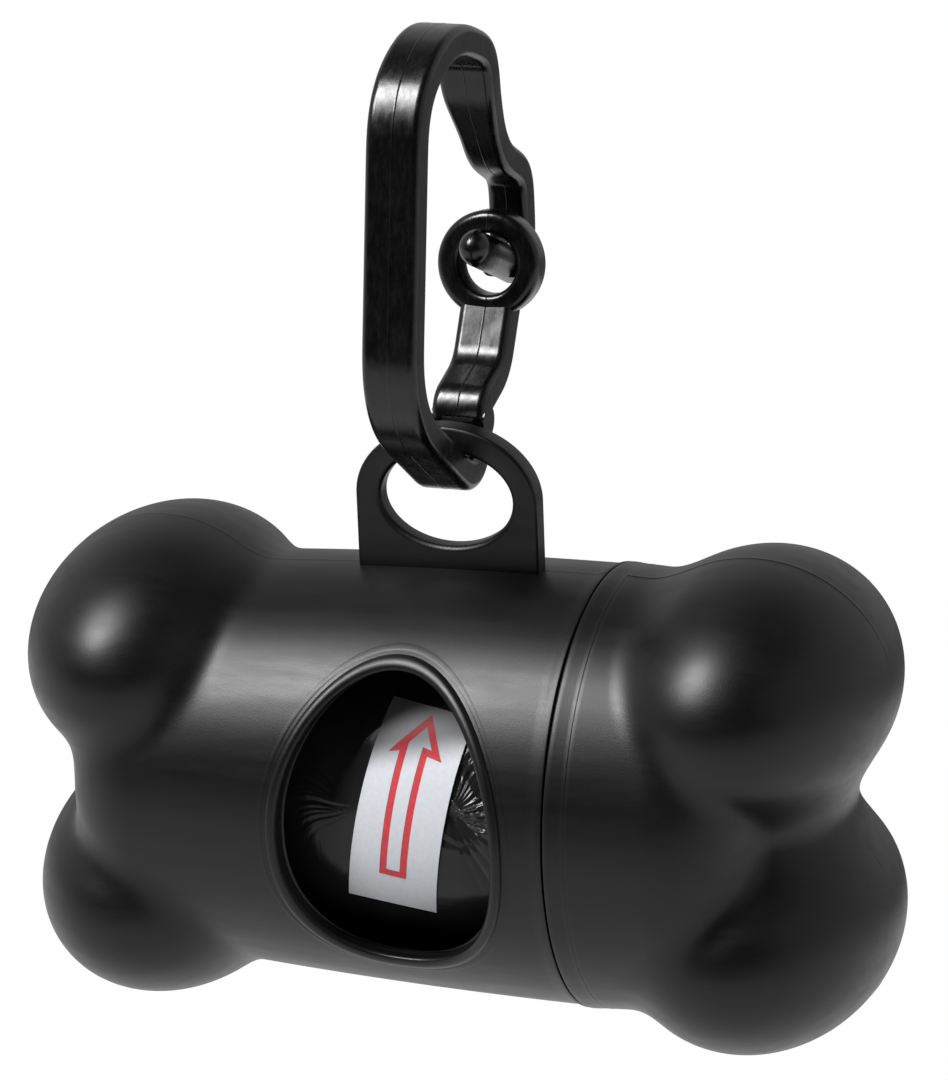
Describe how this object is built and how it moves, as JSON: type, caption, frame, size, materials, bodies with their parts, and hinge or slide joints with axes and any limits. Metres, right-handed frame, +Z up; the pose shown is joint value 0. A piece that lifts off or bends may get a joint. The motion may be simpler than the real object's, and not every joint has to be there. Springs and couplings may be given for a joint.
{
  "type": "pet waste bag dispenser",
  "caption": "Bone-shaped screw-cap dispenser with an oval window onto a roll of bags, hung from a moulded snap clip through an eyelet.",
  "frame": {"origin": "inside of the clip's crown, where a ring, strap or belt loop bears", "axes": "+X along the bone towards the screw cap, +Y away from the window, +Z up"},
  "size_m": [0.0809, 0.0412, 0.092],
  "materials": {
    "shell_plastic": "satin black, faint moulded grain",
    "clip_plastic": "glossy black",
    "film": "glossy wrinkled film",
    "cardboard": "plain cardboard tube",
    "label_paper": "smooth paper"
  },
  "bodies": {
    "clip": {"clip_frame": "clip_plastic"},
    "gate": {"clip_gate": "clip_plastic"},
    "body": {"body_shell": "shell_plastic"},
    "rim": {"cap_rim": "shell_plastic"},
    "cap": {"end_cap": "shell_plastic"},
    "roll": {"bag_roll": "film", "roll_core": "cardboard", "roll_label": "label_paper"}
  },
  "joints": [
    {"name": "gate_press", "type": "hinge", "parent": "clip", "child": "gate", "pos_m": [0, 0.0041, -0.03435], "axis": [1, 0, 0], "range_deg": [0, 28], "stiffness_Nm_per_rad": 0.05},
    {"name": "bone_swing", "type": "hinge", "parent": "clip", "child": "body", "pos_m": [0, 0, -0.04458], "axis": [0, 1, 0], "range_deg": [-18, 18]},
    {"name": "roll_spin", "type": "hinge", "parent": "body", "child": "roll", "pos_m": [-0.0053, 0, -0.06745], "axis": [1, 0, 0], "continuous": true},
    {"name": "cap_advance", "type": "slide", "parent": "body", "child": "rim", "axis": [1, 0, 0], "range_m": [0, 0.012]},
    {"name": "cap_turn", "type": "hinge", "parent": "rim", "child": "cap", "pos_m": [0.0147, 0, -0.06655], "axis": [1, 0, 0], "range_deg": [0, 1080]}
  ],
  "couplings": [
    {"joint": "cap_turn", "follows": "cap_advance", "rad_per_m": 1570.8}
  ]
}
